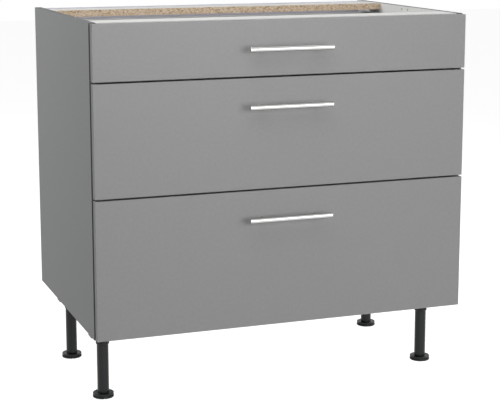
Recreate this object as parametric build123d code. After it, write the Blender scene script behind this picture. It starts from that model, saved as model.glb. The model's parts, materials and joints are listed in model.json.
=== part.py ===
from build123d import *
import math
import os

# Kitchen base cabinet, 900 wide, with three full-width drawers on telescopic runners.
# Millimetres. +X is right, +Y is towards the wall, +Z is up and Z = 0 is the floor.
# The origin is on the floor, at the middle of the width and of the depth over the handles.

# Carcass
CABINET_WIDTH = 900.0
CARCASS_HEIGHT = 704.0
CARCASS_DEPTH = 560.0
LEG_HEIGHT = 166.0          # floor to underside of the carcass, legs wound right in
BOARD = 16.0                # melamine chipboard of the carcass and the drawer boxes
FRONT_STRETCHER_DEPTH = 72.0
REAR_STRETCHER_DEPTH = 70.0
REAR_STRETCHER_SETBACK = 36.0   # clear of the back panel
SERVICE_VOID = 40.0         # behind the back panel, for pipes and sockets
BACK_THICKNESS = 3.0
BACK_GROOVE_DEPTH = 8.0
BACK_PLAY = 0.2             # each side of the back panel in its groove

# Drawer fronts
FRONT_THICKNESS = 18.0
FRONT_STANDOFF = 3.0        # gap between a front and the carcass, held by the pads
FRONT_SIDE_REVEAL = 2.0
FRONT_END_REVEAL = 1.5      # carcass showing above the top front and below the bottom one
FRONT_SPACING = 4.0         # gap between one front and the next
TOP_FRONT_HEIGHT = 125.0
MIDDLE_FRONT_HEIGHT = 252.0
FRONT_EDGE_ROUND = 0.8

# Bar handles
BAR_LENGTH = 200.0
BAR_RADIUS = 6.0
BAR_CHAMFER = 0.6
BAR_STANDOFF = 29.0         # front face to the bar's centre line
BAR_DROP = 62.5             # a front's top edge to the bar's centre line
POST_SPACING = 128.0
POST_RADIUS = 4.0
HANDLE_SCREW_RADIUS = 1.95
HANDLE_SCREW_HEAD_RADIUS = 4.0
HANDLE_SCREW_HEAD = 2.4
HANDLE_SCREW_IN_POST = 10.0
SCREW_HOLE_CLEARANCE = 0.25

# Panel joints
DOWEL_RADIUS = 4.0
DOWEL_LENGTH = 30.0
DOWEL_IN_SIDE = 12.0
DOWEL_END_SPACE = 0.5       # glue space at each end of a dowel hole
FIT = 0.05                  # radial play of dowels, cams, spigots and threads
CAM_RADIUS = 7.5
CAM_HEIGHT = 12.5
CAM_FROM_SIDE = 34.0        # cam centre to the inner face of the side panel
CAM_SKIN = 0.3              # cam below the surface it is let into
CAM_POCKET_RADIUS = 3.8
CAM_BOLT_RADIUS = 3.0
CAM_BOLT_HEAD_RADIUS = 3.6
CAM_BOLT_HEAD = 3.0
CAM_BOLT_THREAD_RADIUS = 2.5
CAM_BOLT_IN_SIDE = 11.0
BOTTOM_DOWELS_FROM_FRONT = (24.0, 270.0)
REAR_DOWEL_TO_LEG = 18.0    # last dowel in front of the rear leg's axis, clear of its spigot
BOTTOM_CAMS_FROM_FRONT = (60.0, 500.0)
STRETCHER_DOWEL_INSET = 14.0
WORKTOP_HOLE_RADIUS = 2.5
WORKTOP_HOLE_SPACING = 700.0
BRACKET_HOLE_RADIUS = 2.5   # pair of system holes high inside each side panel
BRACKET_HOLE_DEPTH = 12.0
BRACKET_HOLE_SPACING = 32.0
BRACKET_HOLES_FROM_FRONT = 271.0
BRACKET_HOLES_FROM_TOP = 8.0
PAD_RADIUS = 4.0
PAD_CLEARANCE = 0.3         # pad face to the back of the front it meets
PAD_INSET = 20.0            # from a front's top and bottom edges

# Runners: heights are above the underside of each runner, widths from the side panel
RUNNER_RISE = 18.0          # a front's lower edge to the underside of its runner
RUNNER_LENGTH = 500.0
RUNNER_SETBACK = 3.0
RUNNER_STEEL = 1.5
RUNNER_WIDTH = 24.0
RUNNER_FLANGE_HEIGHT = 38.0
RUNNER_LIP_HEIGHT = 10.0
RUNNER_PLAY = 0.5
MIDDLE_MEMBER_SIZE = 12.0
MIDDLE_MEMBER_LENGTH = 470.0
MIDDLE_MEMBER_OFFSET = 7.0
DRAWER_MEMBER_LENGTH = 480.0
DRAWER_MEMBER_SKIRT = 11.0
RUNNER_SCREW_RADIUS = 1.9
RUNNER_SCREW_LENGTH = 12.0
RUNNER_SCREW_HEAD_RADIUS = 3.8
RUNNER_SCREW_HEAD = 2.0
RUNNER_SCREW_HEIGHT = 28.0
RUNNER_SCREWS_FROM_FRONT = (37.0, 261.0, 453.0)

# Drawer boxes: double-walled steel sides around a chipboard base and back
DRAWER_SIDE_STEEL = 1.2
DRAWER_SIDE_OFFSET = 8.0    # side panel to the drawer side's outer wall
DRAWER_SIDE_WIDTH = 18.2
DRAWER_SIDE_TOP = 84.0      # above the underside of the runner
DRAWER_SIDE_LENGTH = 500.0
DRAWER_SIDE_ROUND = 2.0
BASE_FLANGE_WIDTH = 16.0
BASE_FLANGE_HEIGHT = 3.0
BASE_PLAY = 0.3
LOW_BACK_TOP = 80.0
HIGH_BACK_TOP = 172.0
BRACKET_STEEL = 1.5
BRACKET_FOOT = 30.0
BRACKET_TONGUE_LENGTH = 40.0
REAR_BRACKET_REACH = 50.0
GALLERY_ROD_RADIUS = 5.0
GALLERY_ROD_HEIGHT = 158.0

# Legs
LEG_FROM_SIDE = 42.5        # leg axis to the outer face of the nearer side panel
FRONT_LEG_FROM_FRONT = 98.0
LEG_SPACING_DEPTH = 320.0
LEG_TUBE_RADIUS = 13.5
LEG_TUBE_WALL = 2.5
LEG_COLLAR_RADIUS = 15.5
LEG_COLLAR_HEIGHT = 36.0
LEG_COLLAR_CHAMFER = 1.5
LEG_SPIGOT_RADIUS = 10.0
LEG_SPIGOT_IN_BOARD = 12.0
LEG_NUT_HEIGHT = 22.0
LEG_TURN_PLAY = 0.3         # leg collar to the plate above it, and tube to foot
FOOT_RADIUS = 24.6
FOOT_UPPER_RADIUS = 24.2
FOOT_WAIST_RADIUS = 22.4
FOOT_LOWER_HEIGHT = 4.8
FOOT_WAIST_HEIGHT = 2.4
FOOT_UPPER_HEIGHT = 3.3
FOOT_EDGE_ROUND = 0.6
FOOT_SHANK_RADIUS = 5.0
FOOT_SHANK_LENGTH = 46.0
FOOT_SLOTS = 6
FOOT_SLOT_WIDTH = 3.4
FOOT_SLOT_DEPTH = 2.2
FOOT_FIRST_SLOT = 261.6     # degrees from +X
PLATE_THICKNESS = 3.5
PLATE_WIDTH = 66.0
PLATE_FRONT_REACH = 72.0    # leg axis to the plate's front edge
PLATE_REAR_REACH = 36.0
PLATE_CORNER = 8.0
TONGUE_WIDTH = 34.0
TONGUE_FROM_LEG = 54.0      # tongue's middle in front of the leg axis
TONGUE_CORNER = 4.0
PLATE_SCREW_RADIUS = 1.9
PLATE_SCREW_LENGTH = 13.0
PLATE_SCREW_HEAD_RADIUS = 3.6
PLATE_SCREW_HEAD = 2.0
PLATE_SCREW_INSET = 10.0

# Places that follow from the sizes above
BAR_AXIS_OUT = FRONT_STANDOFF + FRONT_THICKNESS + BAR_STANDOFF
CARCASS_FRONT = (BAR_AXIS_OUT + BAR_RADIUS - CARCASS_DEPTH) / 2
CARCASS_BACK = CARCASS_FRONT + CARCASS_DEPTH
OUTER_X = CABINET_WIDTH / 2
INNER_X = OUTER_X - BOARD
CARCASS_BOTTOM = LEG_HEIGHT
CARCASS_TOP = LEG_HEIGHT + CARCASS_HEIGHT
BOTTOM_PANEL_TOP = CARCASS_BOTTOM + BOARD
BOTTOM_PANEL_MIDDLE = CARCASS_BOTTOM + BOARD / 2
STRETCHER_UNDERSIDE = CARCASS_TOP - BOARD
STRETCHER_MIDDLE = CARCASS_TOP - BOARD / 2
BACK_FACE = CARCASS_BACK - SERVICE_VOID
FRONT_BACK = CARCASS_FRONT - FRONT_STANDOFF
FRONT_FACE = FRONT_BACK - FRONT_THICKNESS
BAR_Y = FRONT_FACE - BAR_STANDOFF
BOTTOM_FRONT_HEIGHT = (
    CARCASS_HEIGHT - 2 * FRONT_END_REVEAL - 2 * FRONT_SPACING
    - TOP_FRONT_HEIGHT - MIDDLE_FRONT_HEIGHT
)
BOTTOM_FRONT_Z = CARCASS_BOTTOM + FRONT_END_REVEAL
MIDDLE_FRONT_Z = BOTTOM_FRONT_Z + BOTTOM_FRONT_HEIGHT + FRONT_SPACING
TOP_FRONT_Z = MIDDLE_FRONT_Z + MIDDLE_FRONT_HEIGHT + FRONT_SPACING
# name, lower edge of the front, height of the front, top of the drawer's back, gallery rods
DRAWERS = (
    ("top", TOP_FRONT_Z, TOP_FRONT_HEIGHT, LOW_BACK_TOP, False),
    ("middle", MIDDLE_FRONT_Z, MIDDLE_FRONT_HEIGHT, HIGH_BACK_TOP, True),
    ("bottom", BOTTOM_FRONT_Z, BOTTOM_FRONT_HEIGHT, HIGH_BACK_TOP, True),
)
LEG_X = OUTER_X - LEG_FROM_SIDE
LEG_PLACES = {
    "front_left": (-LEG_X, CARCASS_FRONT + FRONT_LEG_FROM_FRONT),
    "front_right": (LEG_X, CARCASS_FRONT + FRONT_LEG_FROM_FRONT),
    "rear_left": (-LEG_X, CARCASS_FRONT + FRONT_LEG_FROM_FRONT + LEG_SPACING_DEPTH),
    "rear_right": (LEG_X, CARCASS_FRONT + FRONT_LEG_FROM_FRONT + LEG_SPACING_DEPTH),
}
PLATE_UNDERSIDE = CARCASS_BOTTOM - PLATE_THICKNESS
FOOT_HEIGHT = FOOT_LOWER_HEIGHT + FOOT_WAIST_HEIGHT + FOOT_UPPER_HEIGHT


def block(x_low, x_high, y_low, y_high, z_low, z_high):
    """A square-edged block between two corners."""
    middle = Pos((x_low + x_high) / 2, (y_low + y_high) / 2, (z_low + z_high) / 2)
    return middle * Box(x_high - x_low, y_high - y_low, z_high - z_low)


def rod_x(radius, x_low, x_high, y, z):
    return Pos((x_low + x_high) / 2, y, z) * Rot(0, 90, 0) * Cylinder(radius, x_high - x_low)


def rod_y(radius, x, y_low, y_high, z):
    return Pos(x, (y_low + y_high) / 2, z) * Rot(90, 0, 0) * Cylinder(radius, y_high - y_low)


def rod_z(radius, x, y, z_low, z_high):
    return Pos(x, y, (z_low + z_high) / 2) * Cylinder(radius, z_high - z_low)


def mirrored(shape):
    """The same piece on the other side of the cabinet."""
    return mirror(shape, about=Plane.YZ)


def both_sides(shape):
    """A left-hand piece together with its right-hand twin."""
    return group(list(shape.solids()) + list(mirrored(shape).solids()))


def group(solids):
    """Separate solids that share one node."""
    return Compound(children=[Solid(solid.wrapped) for solid in solids])


def save(name, shape):
    export_step(shape, os.path.join("parts", name + ".step"))


# Panel joints: where each dowel and each cam fitting sits, all for the left-hand side

def stretcher_spans():
    """Front and back edge of each stretcher."""
    front = (CARCASS_FRONT, CARCASS_FRONT + FRONT_STRETCHER_DEPTH)
    rear_back = BACK_FACE - REAR_STRETCHER_SETBACK
    rear = (rear_back - REAR_STRETCHER_DEPTH, rear_back)
    return front, rear


def dowel_places():
    rear_leg = FRONT_LEG_FROM_FRONT + LEG_SPACING_DEPTH
    from_front = (*BOTTOM_DOWELS_FROM_FRONT, rear_leg - REAR_DOWEL_TO_LEG)
    places = [(CARCASS_FRONT + y, BOTTOM_PANEL_MIDDLE) for y in from_front]
    for y_low, y_high in stretcher_spans():
        places.append((y_low + STRETCHER_DOWEL_INSET, STRETCHER_MIDDLE))
        places.append((y_high - STRETCHER_DOWEL_INSET, STRETCHER_MIDDLE))
    return places


def cam_places():
    """Y, the bolt's height and the underside of the board that holds the cam."""
    places = [
        (CARCASS_FRONT + y, BOTTOM_PANEL_MIDDLE, CARCASS_BOTTOM)
        for y in BOTTOM_CAMS_FROM_FRONT
    ]
    for y_low, y_high in stretcher_spans():
        places.append(((y_low + y_high) / 2, STRETCHER_MIDDLE, STRETCHER_UNDERSIDE))
    return places


def dowel(y, z):
    x_low = -INNER_X - DOWEL_IN_SIDE
    return rod_x(DOWEL_RADIUS, x_low, x_low + DOWEL_LENGTH, y, z)


def dowel_hole(y, z):
    x_low = -INNER_X - DOWEL_IN_SIDE - DOWEL_END_SPACE
    x_high = x_low + DOWEL_LENGTH + 2 * DOWEL_END_SPACE
    return rod_x(DOWEL_RADIUS + FIT, x_low, x_high, y, z)


def cam_bolt_shape(y, z, play):
    """Threaded end in the side panel, plain shank and the head that the cam pulls."""
    head_x = -INNER_X + CAM_FROM_SIDE
    bolt = rod_x(
        CAM_BOLT_THREAD_RADIUS + play, -INNER_X - CAM_BOLT_IN_SIDE, -INNER_X, y, z
    )
    bolt += rod_x(CAM_BOLT_RADIUS + play, -INNER_X, head_x, y, z)
    bolt += rod_x(CAM_BOLT_HEAD_RADIUS + play, head_x, head_x + CAM_BOLT_HEAD, y, z)
    return bolt


def cam_housing(y, z, underside):
    x = -INNER_X + CAM_FROM_SIDE
    z_low = underside + CAM_SKIN
    housing = rod_z(CAM_RADIUS, x, y, z_low, z_low + CAM_HEIGHT)
    pocket_end = x + CAM_BOLT_HEAD + CAM_POCKET_RADIUS - CAM_BOLT_HEAD_RADIUS
    pocket = rod_x(CAM_POCKET_RADIUS, x - 2 * CAM_RADIUS, pocket_end, y, z)
    return housing - pocket


def cam_hole(y, underside):
    x = -INNER_X + CAM_FROM_SIDE
    return rod_z(CAM_RADIUS + FIT, x, y, underside, underside + CAM_SKIN + CAM_HEIGHT + FIT)


def joint_holes():
    """Everything drilled for dowels and cams at the left end of the boards."""
    holes = [dowel_hole(y, z) for y, z in dowel_places()]
    for y, z, underside in cam_places():
        holes.append(cam_bolt_shape(y, z, FIT))
        holes.append(cam_hole(y, underside))
    return holes


def drill(board, holes):
    """The board with each left-hand hole and its mirror image cut away."""
    for hole in holes:
        board = board - hole - mirrored(hole)
    return board


# Carcass

def back_groove():
    """The grooves in both sides and the bottom that hold the back panel."""
    y_low = BACK_FACE
    y_high = BACK_FACE + BACK_THICKNESS + 2 * BACK_PLAY
    reach = INNER_X + BACK_GROOVE_DEPTH
    return block(
        -reach, reach, y_low, y_high, BOTTOM_PANEL_TOP - BACK_GROOVE_DEPTH, CARCASS_TOP
    )


def bracket_holes():
    """Pair of blind pilot holes high on the inner face of the left side panel."""
    middle = CARCASS_FRONT + BRACKET_HOLES_FROM_FRONT
    z = CARCASS_TOP - BRACKET_HOLES_FROM_TOP
    x_low = -INNER_X - BRACKET_HOLE_DEPTH
    return [
        rod_x(BRACKET_HOLE_RADIUS, x_low, -INNER_X, middle + side, z)
        for side in (-BRACKET_HOLE_SPACING / 2, BRACKET_HOLE_SPACING / 2)
    ]


def runner_screw_places(runner_z):
    z = runner_z + RUNNER_SCREW_HEIGHT
    return [(CARCASS_FRONT + y, z) for y in RUNNER_SCREWS_FROM_FRONT]


def runner_screw_hole(y, z):
    x_low = -INNER_X - RUNNER_SCREW_LENGTH
    return rod_x(RUNNER_SCREW_RADIUS + FIT, x_low, -INNER_X + RUNNER_STEEL, y, z)


def side_panel():
    panel = block(-OUTER_X, -INNER_X, CARCASS_FRONT, CARCASS_BACK, CARCASS_BOTTOM, CARCASS_TOP)
    panel -= back_groove()
    for hole in joint_holes() + bracket_holes():
        panel -= hole
    for _, front_z, _, _, _ in DRAWERS:
        for y, z in runner_screw_places(front_z + RUNNER_RISE):
            panel -= runner_screw_hole(y, z)
    return panel


def bottom_panel():
    panel = block(
        -INNER_X, INNER_X, CARCASS_FRONT, CARCASS_BACK, CARCASS_BOTTOM, BOTTOM_PANEL_TOP
    )
    panel -= back_groove()
    panel = drill(panel, joint_holes())
    for x, y in LEG_PLACES.values():
        spigot_hole = rod_z(
            LEG_SPIGOT_RADIUS + FIT, x, y, CARCASS_BOTTOM,
            CARCASS_BOTTOM + LEG_SPIGOT_IN_BOARD + LEG_TURN_PLAY,
        )
        panel -= spigot_hole
        for screw_x, screw_y in plate_screw_places(x, y):
            panel -= plate_screw_hole(screw_x, screw_y)
    return panel


def stretcher(y_low, y_high):
    """A flat rail across the top, drilled for the worktop screws."""
    rail = block(-INNER_X, INNER_X, y_low, y_high, STRETCHER_UNDERSIDE, CARCASS_TOP)
    rail = drill(rail, joint_holes())
    worktop_hole = rod_z(
        WORKTOP_HOLE_RADIUS, -WORKTOP_HOLE_SPACING / 2, (y_low + y_high) / 2,
        STRETCHER_UNDERSIDE, CARCASS_TOP,
    )
    return drill(rail, [worktop_hole])


def back_panel():
    reach = INNER_X + BACK_GROOVE_DEPTH - BACK_PLAY
    y_low = BACK_FACE + BACK_PLAY
    z_low = BOTTOM_PANEL_TOP - BACK_GROOVE_DEPTH + BACK_PLAY
    return block(-reach, reach, y_low, y_low + BACK_THICKNESS, z_low, CARCASS_TOP)


def pads():
    """Clear bumper discs on the front edges of the side panels, four behind each front."""
    thickness = FRONT_STANDOFF - PAD_CLEARANCE
    x = -(OUTER_X + INNER_X) / 2
    discs = []
    for _, front_z, height, _, _ in DRAWERS:
        for z in (front_z + PAD_INSET, front_z + height - PAD_INSET):
            disc = rod_y(PAD_RADIUS, x, CARCASS_FRONT - thickness, CARCASS_FRONT, z)
            discs += [disc, mirrored(disc)]
    return group([disc.solid() for disc in discs])


def make_carcass():
    left = side_panel()
    save("side_panel_left", left)
    save("side_panel_right", mirrored(left))
    save("bottom_panel", bottom_panel())
    front_span, rear_span = stretcher_spans()
    save("front_stretcher", stretcher(*front_span))
    save("rear_stretcher", stretcher(*rear_span))
    save("back_panel", back_panel())
    save("carcass_dowels", both_sides(group([dowel(y, z).solid() for y, z in dowel_places()])))
    save("cam_housings", both_sides(group([cam_housing(*p).solid() for p in cam_places()])))
    bolts = [cam_bolt_shape(y, z, 0).solid() for y, z, _ in cam_places()]
    save("cam_bolts", both_sides(group(bolts)))
    save("bumper_pads", pads())


# Runners, drawn for the left-hand side: u from the side panel's inner face, v from the
# underside of the runner, y as elsewhere

def strip(u_low, u_high, v_low, v_high, y_low, y_high, runner_z):
    return block(
        -INNER_X + u_low, -INNER_X + u_high, y_low, y_high, runner_z + v_low, runner_z + v_high
    )


def middle_member_floor():
    return RUNNER_STEEL + RUNNER_PLAY


def drawer_member_top():
    return middle_member_floor() + MIDDLE_MEMBER_SIZE + RUNNER_PLAY + RUNNER_STEEL


def cabinet_member(runner_z):
    """Channel with a tall flange that is screwed to the side panel."""
    y_low = CARCASS_FRONT + RUNNER_SETBACK
    y_high = y_low + RUNNER_LENGTH
    channel = strip(0, RUNNER_STEEL, 0, RUNNER_FLANGE_HEIGHT, y_low, y_high, runner_z)
    channel += strip(0, RUNNER_WIDTH, 0, RUNNER_STEEL, y_low, y_high, runner_z)
    lip_u = RUNNER_WIDTH - RUNNER_STEEL
    channel += strip(lip_u, RUNNER_WIDTH, 0, RUNNER_LIP_HEIGHT, y_low, y_high, runner_z)
    for y, z in runner_screw_places(runner_z):
        channel -= runner_screw_hole(y, z)
    return channel


def middle_member(runner_z):
    """Square tube that carries the drawer member and moves half as far."""
    y_low = CARCASS_FRONT + 2 * RUNNER_SETBACK
    y_high = y_low + MIDDLE_MEMBER_LENGTH
    v_low = middle_member_floor()
    u_low = MIDDLE_MEMBER_OFFSET
    u_high = u_low + MIDDLE_MEMBER_SIZE
    v_high = v_low + MIDDLE_MEMBER_SIZE
    tube = strip(u_low, u_high, v_low, v_high, y_low, y_high, runner_z)
    wall = RUNNER_STEEL
    bore = strip(
        u_low + wall, u_high - wall, v_low + wall, v_high - wall, y_low, y_high, runner_z
    )
    return tube - bore


def drawer_member(runner_z):
    """Inverted channel under the drawer side, astride the middle member."""
    y_low = CARCASS_FRONT
    y_high = y_low + DRAWER_MEMBER_LENGTH
    v_high = drawer_member_top()
    v_low = v_high - DRAWER_MEMBER_SKIRT
    u_low = MIDDLE_MEMBER_OFFSET - RUNNER_PLAY - RUNNER_STEEL
    u_high = MIDDLE_MEMBER_OFFSET + MIDDLE_MEMBER_SIZE + RUNNER_PLAY + RUNNER_STEEL
    channel = strip(u_low, u_high, v_low, v_high, y_low, y_high, runner_z)
    slot = strip(
        u_low + RUNNER_STEEL, u_high - RUNNER_STEEL, v_low, v_high - RUNNER_STEEL,
        y_low, y_high, runner_z,
    )
    return channel - slot


def runner_screw(y, z):
    head_x = -INNER_X + RUNNER_STEEL
    screw = rod_x(RUNNER_SCREW_RADIUS, -INNER_X - RUNNER_SCREW_LENGTH, head_x, y, z)
    screw += rod_x(RUNNER_SCREW_HEAD_RADIUS, head_x, head_x + RUNNER_SCREW_HEAD, y, z)
    return screw


def make_runners():
    screws = []
    for name, front_z, _, _, _ in DRAWERS:
        runner_z = front_z + RUNNER_RISE
        save(name + "_runner_cabinet_members", both_sides(cabinet_member(runner_z)))
        save(name + "_runner_middle_members", both_sides(middle_member(runner_z)))
        save(name + "_runner_drawer_members", both_sides(drawer_member(runner_z)))
        screws += [runner_screw(y, z).solid() for y, z in runner_screw_places(runner_z)]
    save("runner_screws", both_sides(group(screws)))


# Drawers

def drawer_side_start():
    return FRONT_BACK + BRACKET_STEEL


def drawer_side_end():
    return drawer_side_start() + DRAWER_SIDE_LENGTH


def drawer_inner_u():
    return DRAWER_SIDE_OFFSET + DRAWER_SIDE_WIDTH


def base_top():
    return BASE_FLANGE_HEIGHT + DRAWER_SIDE_STEEL + BOARD


def front_panel(front_z, height):
    reach = OUTER_X - FRONT_SIDE_REVEAL
    panel = block(-reach, reach, FRONT_FACE, FRONT_BACK, front_z, front_z + height)
    panel = fillet(panel.edges(), FRONT_EDGE_ROUND)
    z = front_z + height - BAR_DROP
    hole = rod_y(
        HANDLE_SCREW_RADIUS + SCREW_HOLE_CLEARANCE, -POST_SPACING / 2, FRONT_FACE, FRONT_BACK, z
    )
    return drill(panel, [hole])


def handle_bar(z):
    bar = rod_x(BAR_RADIUS, -BAR_LENGTH / 2, BAR_LENGTH / 2, BAR_Y, z)
    return chamfer(bar.edges().filter_by(GeomType.CIRCLE), BAR_CHAMFER)


def handle_posts(z):
    """Round posts, hollowed to the bar's curve at one end and tapped at the other."""
    x = -POST_SPACING / 2
    post = rod_y(POST_RADIUS, x, BAR_Y, FRONT_FACE, z)
    post -= rod_x(BAR_RADIUS, -BAR_LENGTH / 2, BAR_LENGTH / 2, BAR_Y, z)
    post -= rod_y(
        HANDLE_SCREW_RADIUS + FIT, x, FRONT_FACE - HANDLE_SCREW_IN_POST - FIT, FRONT_FACE, z
    )
    return both_sides(post)


def handle_screws(z):
    x = -POST_SPACING / 2
    tip = FRONT_FACE - HANDLE_SCREW_IN_POST
    screw = rod_y(HANDLE_SCREW_RADIUS, x, tip, FRONT_BACK, z)
    screw += rod_y(HANDLE_SCREW_HEAD_RADIUS, x, FRONT_BACK, FRONT_BACK + HANDLE_SCREW_HEAD, z)
    return both_sides(screw)


def drawer_side(runner_z):
    """Folded steel side: a hollow upper part on the runner and a flange under the base."""
    y_low = drawer_side_start()
    y_high = drawer_side_end()
    steel = DRAWER_SIDE_STEEL
    seat = drawer_member_top()
    u_low = DRAWER_SIDE_OFFSET
    u_high = drawer_inner_u()
    shell = strip(u_low, u_high, seat, DRAWER_SIDE_TOP, y_low, y_high, runner_z)
    long_edges = shell.edges().filter_by(Axis.Y).group_by(Axis.Z)[-1]
    shell = fillet(long_edges, DRAWER_SIDE_ROUND)
    hollow = strip(
        u_low + steel, u_high - steel, seat + steel, DRAWER_SIDE_TOP - steel,
        y_low, y_high, runner_z,
    )
    hollow_edges = hollow.edges().filter_by(Axis.Y).group_by(Axis.Z)[-1]
    shell -= fillet(hollow_edges, DRAWER_SIDE_ROUND - steel)
    flange = BASE_FLANGE_HEIGHT
    shell += strip(u_high - steel, u_high, flange, seat + steel, y_low, y_high, runner_z)
    flange_end = u_high + BASE_FLANGE_WIDTH
    shell += strip(
        u_high - steel, flange_end, flange, flange + steel, y_low, y_high, runner_z
    )
    return shell


def drawer_base(runner_z):
    reach = INNER_X - drawer_inner_u() - BASE_PLAY
    z_low = runner_z + BASE_FLANGE_HEIGHT + DRAWER_SIDE_STEEL
    return block(-reach, reach, FRONT_BACK, drawer_side_end(), z_low, z_low + BOARD)


def drawer_back(runner_z, back_top):
    reach = INNER_X - drawer_inner_u() - BASE_PLAY
    y_high = drawer_side_end()
    return block(
        -reach, reach, y_high - BOARD, y_high, runner_z + base_top(), runner_z + back_top
    )


def drawer_brackets(runner_z, bracket_top):
    """Front fixing plates with tongues inside the hollow sides, and rear corner plates."""
    steel = DRAWER_SIDE_STEEL
    u_low = DRAWER_SIDE_OFFSET + steel
    u_high = drawer_inner_u() - steel
    front = strip(
        u_low, u_high, BRACKET_FOOT, bracket_top, FRONT_BACK, drawer_side_start(), runner_z
    )
    tongue_u = u_low + BASE_PLAY
    front += strip(
        tongue_u, tongue_u + BRACKET_STEEL, BRACKET_FOOT,
        DRAWER_SIDE_TOP - 2 * DRAWER_SIDE_ROUND, FRONT_BACK,
        drawer_side_start() + BRACKET_TONGUE_LENGTH, runner_z,
    )
    y_low = drawer_side_end()
    rear = strip(
        u_low, drawer_inner_u() + REAR_BRACKET_REACH, BRACKET_FOOT, bracket_top,
        y_low, y_low + BRACKET_STEEL, runner_z,
    )
    return both_sides(group([front.solid(), rear.solid()]))


def gallery_rods(runner_z):
    """Round rails above the deep drawers' sides, from the front bracket to the rear one."""
    x = -INNER_X + (DRAWER_SIDE_OFFSET + drawer_inner_u()) / 2
    z = runner_z + GALLERY_ROD_HEIGHT
    return both_sides(rod_y(GALLERY_ROD_RADIUS, x, drawer_side_start(), drawer_side_end(), z))


def make_drawers():
    for name, front_z, height, back_top, has_rods in DRAWERS:
        runner_z = front_z + RUNNER_RISE
        handle_z = front_z + height - BAR_DROP
        save(name + "_drawer_front", front_panel(front_z, height))
        save(name + "_handle_bar", handle_bar(handle_z))
        save(name + "_handle_posts", handle_posts(handle_z))
        save(name + "_handle_screws", handle_screws(handle_z))
        side = drawer_side(runner_z)
        save(name + "_drawer_side_left", side)
        save(name + "_drawer_side_right", mirrored(side))
        save(name + "_drawer_base", drawer_base(runner_z))
        save(name + "_drawer_back", drawer_back(runner_z, back_top))
        save(name + "_drawer_brackets", drawer_brackets(runner_z, back_top))
        if has_rods:
            save(name + "_gallery_rods", gallery_rods(runner_z))


# Legs

def plate_screw_places(x, y):
    reach = PLATE_WIDTH / 2 - PLATE_SCREW_INSET
    front = y - PLATE_FRONT_REACH + PLATE_SCREW_INSET
    rear = y + PLATE_REAR_REACH - PLATE_SCREW_INSET
    return [(x + side, end) for side in (-reach, reach) for end in (front, rear)]


def plate_screw_hole(x, y):
    return rod_z(
        PLATE_SCREW_RADIUS + FIT, x, y, PLATE_UNDERSIDE,
        PLATE_UNDERSIDE + PLATE_THICKNESS + PLATE_SCREW_LENGTH + FIT,
    )


def plate_screw(x, y):
    tip = CARCASS_BOTTOM + PLATE_SCREW_LENGTH
    screw = rod_z(PLATE_SCREW_RADIUS, x, y, PLATE_UNDERSIDE, tip)
    head_low = PLATE_UNDERSIDE - PLATE_SCREW_HEAD
    return screw + rod_z(PLATE_SCREW_HEAD_RADIUS, x, y, head_low, PLATE_UNDERSIDE)


def leg_plate(x, y):
    """Plate screwed under the bottom, with a tongue that carries the left side panel."""
    plate = block(
        x - PLATE_WIDTH / 2, x + PLATE_WIDTH / 2, y - PLATE_FRONT_REACH, y + PLATE_REAR_REACH,
        PLATE_UNDERSIDE, CARCASS_BOTTOM,
    )
    plate = fillet(plate.edges().filter_by(Axis.Z), PLATE_CORNER)
    tongue_y = y - TONGUE_FROM_LEG
    tongue = block(
        -OUTER_X, x, tongue_y - TONGUE_WIDTH / 2, tongue_y + TONGUE_WIDTH / 2,
        PLATE_UNDERSIDE, CARCASS_BOTTOM,
    )
    outer_corners = tongue.edges().filter_by(Axis.Z).group_by(Axis.X)[0]
    plate += fillet(outer_corners, TONGUE_CORNER)
    plate -= rod_z(LEG_SPIGOT_RADIUS + FIT, x, y, PLATE_UNDERSIDE, CARCASS_BOTTOM)
    for screw_x, screw_y in plate_screw_places(x, y):
        plate -= plate_screw_hole(screw_x, screw_y)
    return plate


def leg(x, y):
    """Spigot, collar and hollow tube, closed at its lower end by a threaded nut."""
    collar_top = PLATE_UNDERSIDE - LEG_TURN_PLAY
    tube_end = FOOT_HEIGHT + LEG_TURN_PLAY
    tube = rod_z(LEG_TUBE_RADIUS, x, y, tube_end, collar_top)
    collar = rod_z(LEG_COLLAR_RADIUS, x, y, collar_top - LEG_COLLAR_HEIGHT, collar_top)
    lower_rim = collar.edges().filter_by(GeomType.CIRCLE).sort_by(Axis.Z)[0]
    tube += chamfer(lower_rim, LEG_COLLAR_CHAMFER)
    tube += rod_z(LEG_SPIGOT_RADIUS, x, y, collar_top, CARCASS_BOTTOM + LEG_SPIGOT_IN_BOARD)
    tube -= rod_z(
        LEG_TUBE_RADIUS - LEG_TUBE_WALL, x, y, tube_end + LEG_NUT_HEIGHT,
        collar_top - LEG_TUBE_WALL,
    )
    tube -= rod_z(FOOT_SHANK_RADIUS + FIT, x, y, tube_end, tube_end + LEG_NUT_HEIGHT)
    return tube


def foot(x, y):
    """Round foot with a grooved rim, grip slots and a threaded shank."""
    waist_low = FOOT_LOWER_HEIGHT
    waist_high = FOOT_LOWER_HEIGHT + FOOT_WAIST_HEIGHT
    lower = rod_z(FOOT_RADIUS, x, y, 0, waist_low)
    lower = fillet(lower.edges().filter_by(GeomType.CIRCLE), FOOT_EDGE_ROUND)
    for k in range(FOOT_SLOTS):
        turn = FOOT_FIRST_SLOT + 360 / FOOT_SLOTS * k
        slot = Box(2 * FOOT_SLOT_DEPTH, FOOT_SLOT_WIDTH, 2 * FOOT_LOWER_HEIGHT)
        lower -= Pos(x, y, 0) * Rot(0, 0, turn) * Pos(FOOT_RADIUS, 0, 0) * slot
    upper = rod_z(FOOT_UPPER_RADIUS, x, y, waist_high, FOOT_HEIGHT)
    upper = fillet(upper.edges().filter_by(GeomType.CIRCLE), FOOT_EDGE_ROUND)
    disc = lower + rod_z(FOOT_WAIST_RADIUS, x, y, waist_low, waist_high) + upper
    return disc + rod_z(FOOT_SHANK_RADIUS, x, y, FOOT_HEIGHT, FOOT_HEIGHT + FOOT_SHANK_LENGTH)


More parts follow.
